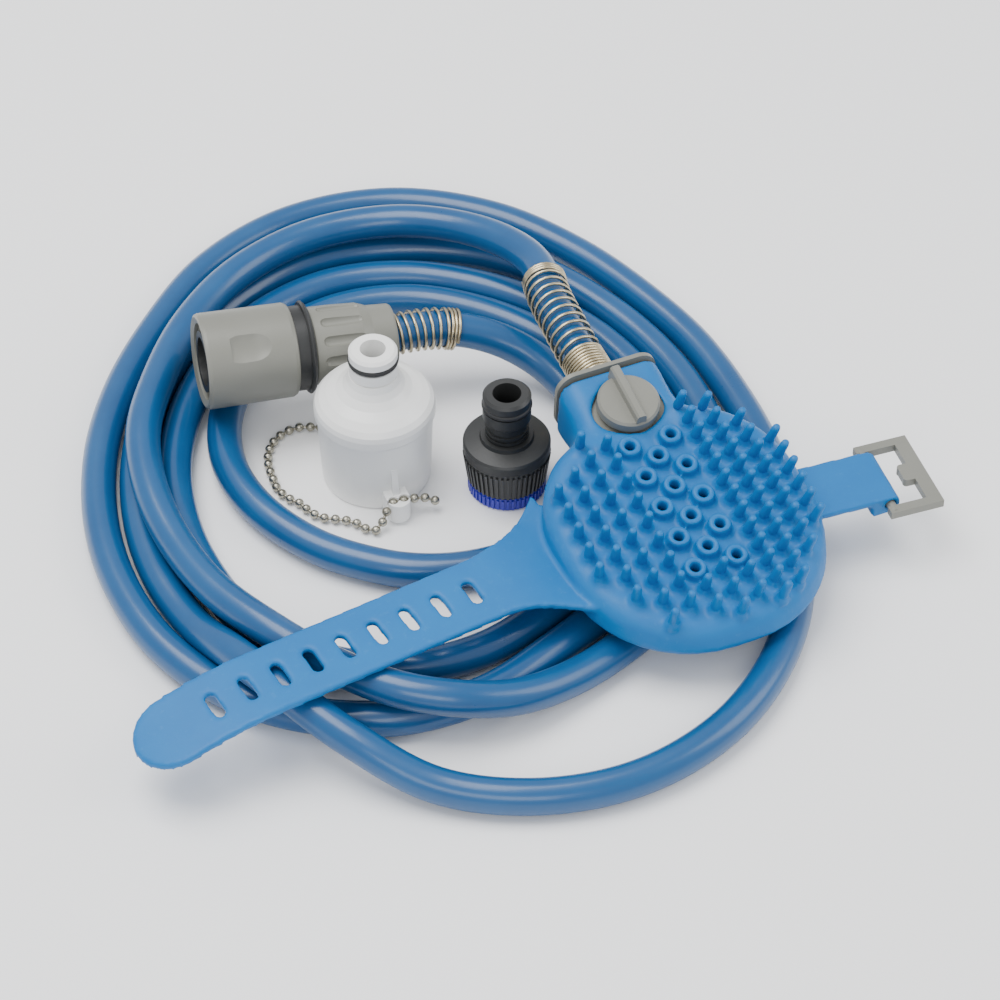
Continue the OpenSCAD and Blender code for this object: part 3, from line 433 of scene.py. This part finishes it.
def turnedShape(name, profile):
    # extruded ring by ring from a disc, and closed with a small flat end
    bpy.ops.object.select_all(action="DESELECT")
    bpy.ops.mesh.primitive_circle_add(vertices=cover["bristleSides"], radius=profile[0][0], fill_type="NGON",
                                      location=(0, 0, 0))
    shape = bpy.context.object
    shape.name = name
    bpy.ops.object.mode_set(mode="EDIT")
    bpy.ops.transform.translate(value=(0, 0, profile[0][1]))
    for (r0, z0), (r1, z1) in zip(profile, profile[1:]):
        bpy.ops.mesh.extrude_region_move(TRANSFORM_OT_translate={"value": (0, 0, z1 - z0)})
        bpy.ops.transform.resize(value=(r1 / r0, r1 / r0, 1))
    bpy.ops.mesh.select_all(action="SELECT")
    bpy.ops.mesh.normals_make_consistent(inside=False)
    bpy.ops.object.mode_set(mode="OBJECT")
    return shape


def plantAndJoin(skin, shape, face):
    # a leaning copy at every bristle's place, all joined to the skin
    pieces = [skin]
    for x, y in bristlePlaces():
        copy = shape.copy()
        copy.data = shape.data.copy()
        bpy.context.collection.objects.link(copy)
        for point in copy.data.vertices:
            height = point.co.z
            point.co = face @ Vector((point.co.x + x + leanAt(x) * max(0, height), point.co.y + y, height))
        pieces.append(copy)
    bpy.data.objects.remove(shape)
    startAlone(skin)
    for piece in pieces:
        piece.select_set(True)
    bpy.ops.object.join()


def makeCover():
    # the moulding with its bristles grown anew: feet melted into the skin, then the leaning fingers
    face = faceFrame()
    toFace = face.inverted()
    skin = frame["nodes"]["silicone_cover"].copy()
    skin.data = skin.data.copy()
    skin.name = "siliconeCover"
    bpy.context.collection.objects.link(skin)
    startAlone(skin)
    bpy.ops.object.mode_set(mode="EDIT")
    bpy.ops.mesh.select_all(action="SELECT")
    bpy.ops.mesh.remove_doubles(threshold=cover["weld"])
    bpy.ops.object.mode_set(mode="OBJECT")
    rings = ringPlaces()
    for point in skin.data.vertices:
        spot = toFace @ point.co
        onRing = min(math.hypot(spot.x - a, spot.y - b) for a, b in rings) < cover["ringRadius"]
        if spot.z > cover["levelAbove"] and not onRing and abs(spot.x) < cover["halfWidth"]:
            spot.z = cover["levelTo"]
            point.co = face @ spot
    plantAndJoin(skin, turnedShape("foot", cover["foot"]), face)
    remesh = skin.modifiers.new("remesh", "REMESH")
    remesh.mode, remesh.voxel_size, remesh.use_smooth_shade = "VOXEL", cover["voxel"], True
    bpy.ops.object.modifier_apply(modifier="remesh")
    soften = skin.modifiers.new("soften", "SMOOTH")
    soften.factor, soften.iterations = 0.5, cover["softening"]
    bpy.ops.object.modifier_apply(modifier="soften")
    # fillet where the neck runs into the pad
    across, along, reach, rounds = cover["shoulder"]
    fillet = skin.vertex_groups.new(name="shoulder")
    toPad = sprayerFrame().inverted()
    for point in skin.data.vertices:
        spot = toPad @ point.co
        away = math.hypot(abs(spot.x) - across, spot.y - along) / reach
        if away < 1:
            fillet.add([point.index], (1 - away * away) ** 2, "REPLACE")
    blend = skin.modifiers.new("blend", "SMOOTH")
    blend.factor, blend.iterations, blend.vertex_group = 0.5, rounds, "shoulder"
    bpy.ops.object.modifier_apply(modifier="blend")
    plantAndJoin(skin, turnedShape("finger", cover["finger"]), face)
    skin.data.materials.clear()
    skin.data.materials.append(finishes["silicone"])
    bpy.ops.object.shade_smooth()
    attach(skin, cover["body"])
    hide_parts("silicone_cover")
    return skin


skin = makeCover()
print("silicone cover made,", len(skin.data.polygons), "faces,", len(bristlePlaces()), "bristles")

stage = {
    "floor": 6, "floorLevel": -0.0002, "shade": colour(246, 246, 246),
    "sky": (0.92, 0.94, 0.97, 1), "skyStrength": 0.95,
    # name, place, width and length, power
    "lamps": [("topSoftbox", (-0.35, 0.35, 1.5), (1.1, 1.1), 28), ("sideSoftbox", (1.2, -0.5, 0.9), (0.7, 1.0), 8),
              ("frontSoftbox", (-0.7, -1.3, 1.1), (1.0, 0.6), 8)],
}


def layFloor():
    bpy.ops.object.select_all(action="DESELECT")
    bpy.ops.mesh.primitive_plane_add(size=stage["floor"], location=(0, 0, stage["floorLevel"]))
    floor = bpy.context.object
    floor.name = "paleFloor"
    f = Finish("paleFloor")
    floor.data.materials.append(f.set(Base_Color=stage["shade"], Roughness=0.6))


def hangLight(name, place, size, energy):
    bpy.ops.object.light_add(type="AREA", location=place)
    lamp = bpy.context.object
    lamp.name = name
    lamp.data.shape = "RECTANGLE"
    lamp.data.size, lamp.data.size_y = size
    lamp.data.energy = energy
    lamp.rotation_euler = (Vector((0, 0, 0)) - Vector(place)).to_track_quat("-Z", "Y").to_euler()


layFloor()
for lamp in stage["lamps"]:
    hangLight(*lamp)
sky = bpy.data.worlds.new("paleRoom")
sky.use_nodes = True
sky.node_tree.nodes["Background"].inputs["Color"].default_value = stage["sky"]
sky.node_tree.nodes["Background"].inputs["Strength"].default_value = stage["skyStrength"]
bpy.context.scene.world = sky
print("stage lit")
